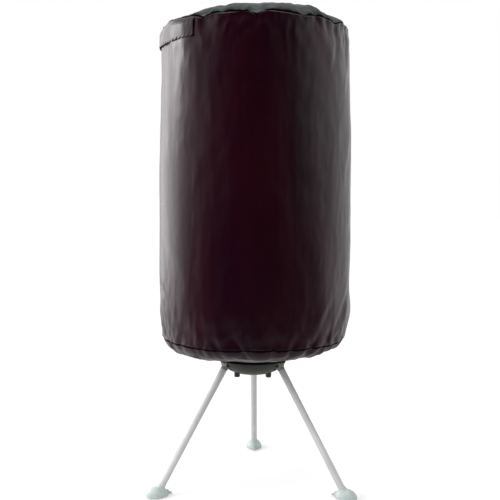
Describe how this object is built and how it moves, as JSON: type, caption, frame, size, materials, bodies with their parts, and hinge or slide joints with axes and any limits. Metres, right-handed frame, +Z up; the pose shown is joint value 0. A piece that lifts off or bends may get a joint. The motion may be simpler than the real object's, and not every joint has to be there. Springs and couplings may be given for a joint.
{
  "type": "portable clothes dryer",
  "caption": "Free-standing round clothes dryer: a fan heater in a bowl housing on folding legs, with a pole, folding hanger arms and a tall zipped nylon bag.",
  "frame": {"origin": "on the floor, at the middle of the dryer's outline seen from above; the pole stands 32.3 mm in front of it, because the rear foot reaches further back than the bag reaches forward", "axes": "+Z up along the pole, +Y towards the rear leg, +X to the right as seen from the front"},
  "size_m": [0.6382, 0.6656, 1.478],
  "materials": {
    "bag_nylon": "coated plum nylon with a soft sheen",
    "hem_tape": "woven elastic binding",
    "zip_finish": "coil zip",
    "housing_plastic": "moulded, fine satin",
    "bracket_plastic": "moulded, fine satin",
    "dark_plastic": "moulded",
    "foot_plastic": "pale green-white, semi-gloss",
    "sole_rubber": "matt",
    "leg_paint": "powder coated silver-white steel tube",
    "bright_steel": "bright zinc plated",
    "heater_metal": "pressed sheet",
    "arm_plastic": "moulded, off-white"
  },
  "bodies": {
    "stand": {"lower_housing": "housing_plastic", "upper_housing": "housing_plastic", "intake_grille": "dark_plastic", "cord_gland": "dark_plastic", "timer_body": "dark_plastic", "motor_spider": "dark_plastic", "fan_motor": "bright_steel", "heater_frame": "heater_metal", "heater_block": "heater_metal", "thermal_cutout": "dark_plastic", "leg_bracket_rear": "bracket_plastic", "leg_bracket_left": "bracket_plastic", "leg_bracket_right": "bracket_plastic", "leg_pin_rear": "dark_plastic", "leg_pin_left": "dark_plastic", "leg_pin_right": "dark_plastic", "pole_lower": "bright_steel", "pole_upper": "bright_steel", "pole_collar": "dark_plastic", "hub_base": "arm_plastic", "hub_crown": "arm_plastic", "hub_wire": "bright_steel", "bag_side": "bag_nylon", "bag_top": "bag_nylon", "bag_bottom": "bag_nylon", "bag_hem": "hem_tape", "hoop_top": "bright_steel", "hoop_bottom": "bright_steel", "zip_flap": "bag_nylon", "zip_tape": "zip_finish"},
    "leg_rear": {"leg_knuckle_rear": "bracket_plastic", "leg_tube_rear": "leg_paint", "foot_rear": "foot_plastic", "foot_sole_rear": "sole_rubber"},
    "leg_left": {"leg_knuckle_left": "bracket_plastic", "leg_tube_left": "leg_paint", "foot_left": "foot_plastic", "foot_sole_left": "sole_rubber"},
    "leg_right": {"leg_knuckle_right": "bracket_plastic", "leg_tube_right": "leg_paint", "foot_right": "foot_plastic", "foot_sole_right": "sole_rubber"},
    "fan": {"fan_shaft": "bright_steel", "fan_impeller": "dark_plastic"},
    "timer": {"timer_knob": "dark_plastic", "timer_shaft": "bright_steel"},
    "slider": {"zip_slider": "zip_finish"},
    "arm_1": {"hanger_arm_1": "arm_plastic"},
    "arm_2": {"hanger_arm_2": "arm_plastic"},
    "arm_3": {"hanger_arm_3": "arm_plastic"},
    "arm_4": {"hanger_arm_4": "arm_plastic"},
    "arm_5": {"hanger_arm_5": "arm_plastic"},
    "arm_6": {"hanger_arm_6": "arm_plastic"}
  },
  "joints": [
    {"name": "leg_rear_fold", "type": "hinge", "parent": "stand", "child": "leg_rear", "pos_m": [0, 0.06371, 0.381], "axis": [-1, 0, 0], "range_deg": [0, 32]},
    {"name": "leg_left_fold", "type": "hinge", "parent": "stand", "child": "leg_left", "pos_m": [-0.08314, -0.08029, 0.381], "axis": [0.5, -0.866, 0], "range_deg": [0, 32]},
    {"name": "leg_right_fold", "type": "hinge", "parent": "stand", "child": "leg_right", "pos_m": [0.08314, -0.08029, 0.381], "axis": [0.5, 0.866, 0], "range_deg": [0, 32]},
    {"name": "fan_spin", "type": "hinge", "parent": "stand", "child": "fan", "pos_m": [0, -0.03229, 0.3735], "axis": [0, 0, 1], "continuous": true},
    {"name": "timer_turn", "type": "hinge", "parent": "stand", "child": "timer", "pos_m": [0.05744, 0.04974, 0.3774], "axis": [0.4493, 0.6417, -0.6215], "range_deg": [-300, 0]},
    {"name": "zip_travel", "type": "hinge", "parent": "stand", "child": "slider", "pos_m": [0, -0.03229, 1.391], "axis": [0, 0, 1], "range_deg": [-176, 0]},
    {"name": "arm_1_fold", "type": "hinge", "parent": "stand", "child": "arm_1", "pos_m": [0.03464, -0.01229, 1.386], "axis": [-0.5, 0.866, 0], "range_deg": [0, 85]},
    {"name": "arm_2_fold", "type": "hinge", "parent": "stand", "child": "arm_2", "pos_m": [0, 0.00771, 1.386], "axis": [-1, 0, 0], "range_deg": [0, 85]},
    {"name": "arm_3_fold", "type": "hinge", "parent": "stand", "child": "arm_3", "pos_m": [-0.03464, -0.01229, 1.386], "axis": [-0.5, -0.866, 0], "range_deg": [0, 85]},
    {"name": "arm_4_fold", "type": "hinge", "parent": "stand", "child": "arm_4", "pos_m": [-0.03464, -0.05229, 1.386], "axis": [0.5, -0.866, 0], "range_deg": [0, 85]},
    {"name": "arm_5_fold", "type": "hinge", "parent": "stand", "child": "arm_5", "pos_m": [0, -0.07229, 1.386], "axis": [1, 0, 0], "range_deg": [0, 85]},
    {"name": "arm_6_fold", "type": "hinge", "parent": "stand", "child": "arm_6", "pos_m": [0.03464, -0.05229, 1.386], "axis": [0.5, 0.866, 0], "range_deg": [0, 85]}
  ]
}
